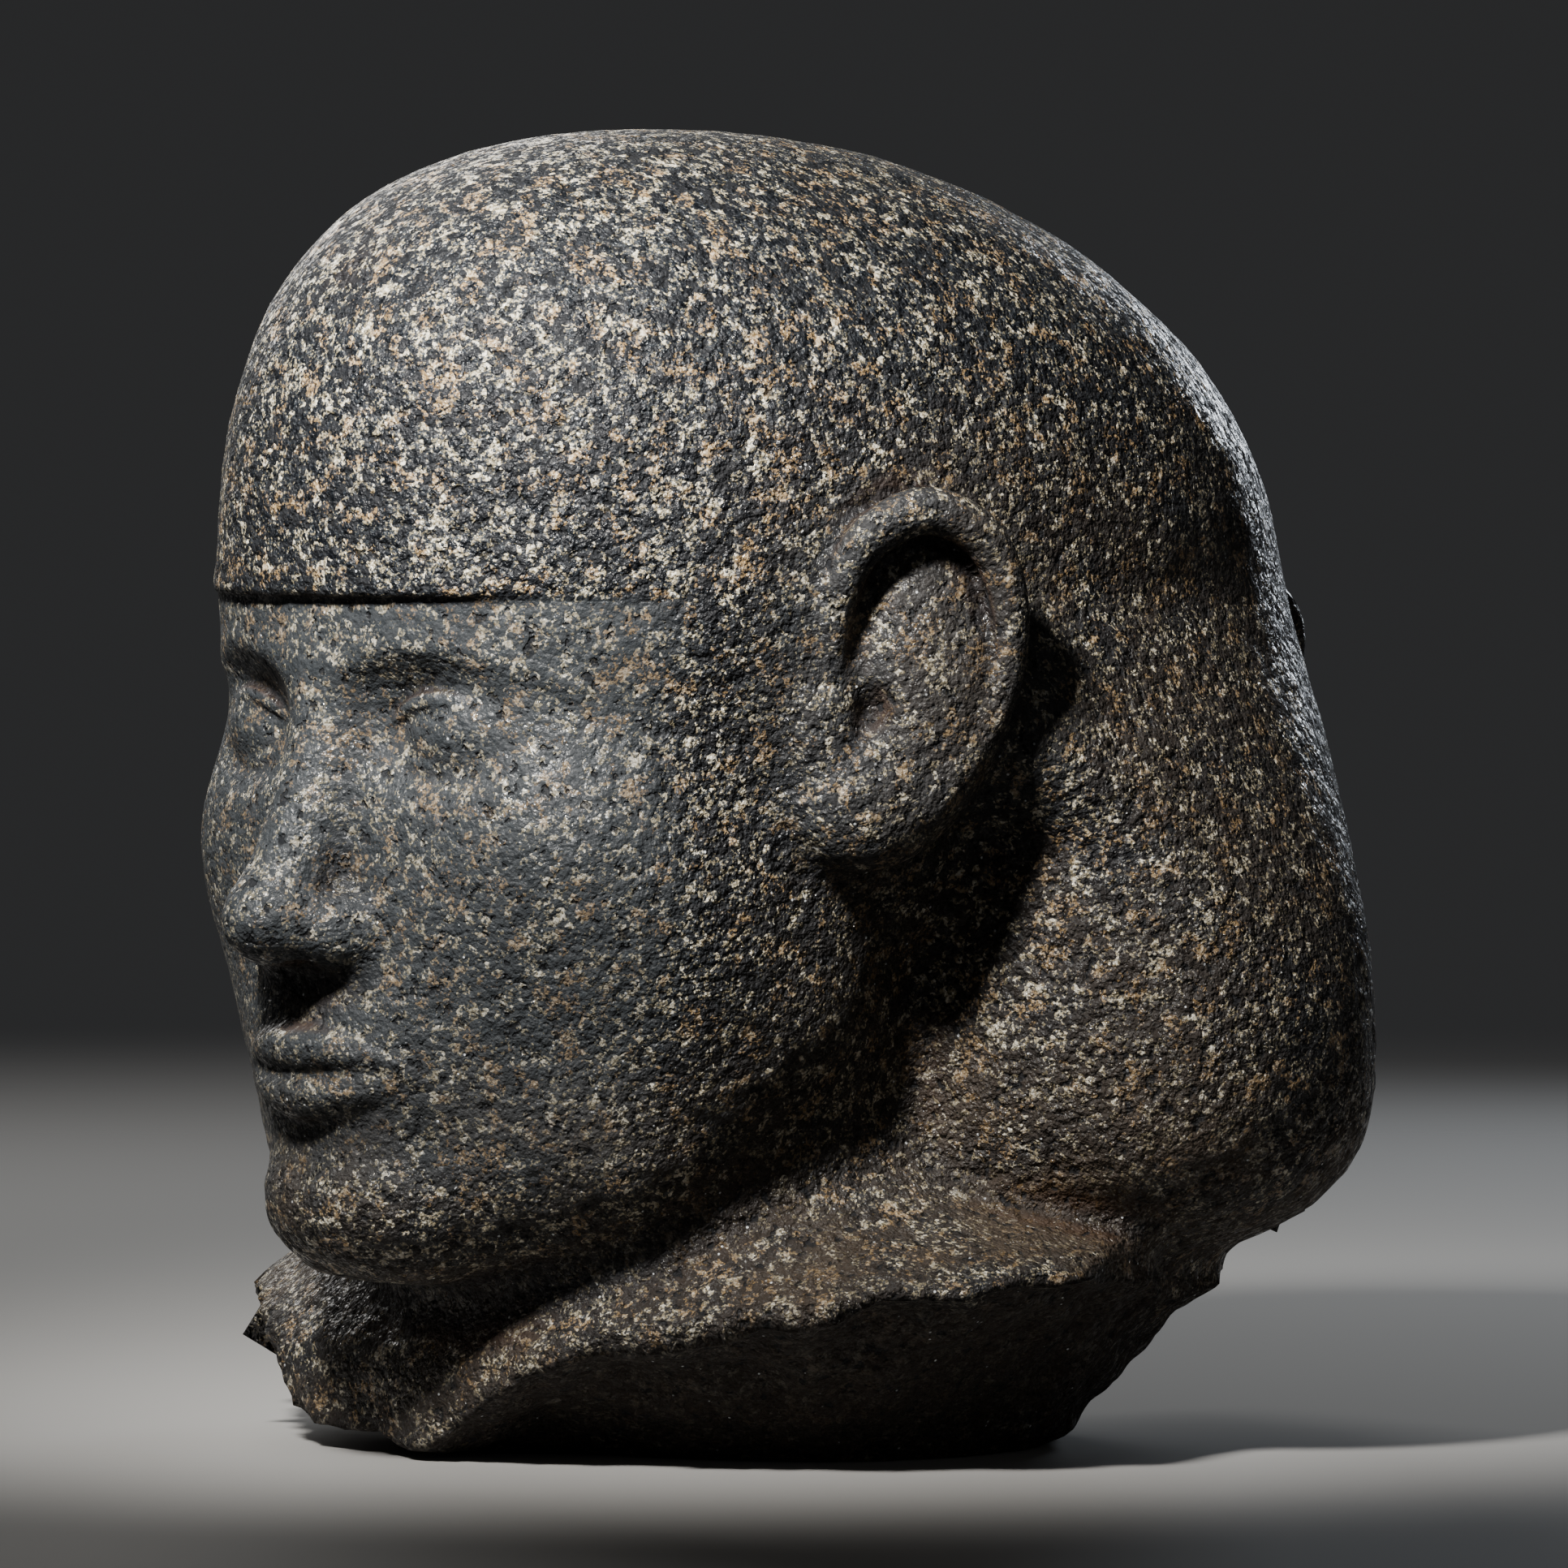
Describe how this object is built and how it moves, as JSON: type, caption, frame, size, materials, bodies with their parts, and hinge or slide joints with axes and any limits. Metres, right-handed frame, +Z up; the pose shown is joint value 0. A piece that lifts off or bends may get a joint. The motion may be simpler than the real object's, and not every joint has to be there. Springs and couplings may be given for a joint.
{
  "type": "granite_head_sculpture",
  "caption": "Carved granite head of a standing figure, broken off at the neck, with a plain bag wig behind bare ears and the top of a back pillar; it stands on the levelled break.",
  "frame": {"origin": "on the level seat under the break, at the middle of the head's width and depth", "axes": "+Z up, the face looks along -Y, the head's own left ear is at +X"},
  "size_m": [0.256, 0.2748, 0.28],
  "materials": {
    "granite": "semi-polished dark speckled granite"
  },
  "bodies": {
    "root": {"granite_head": "granite"}
  },
  "joints": []
}
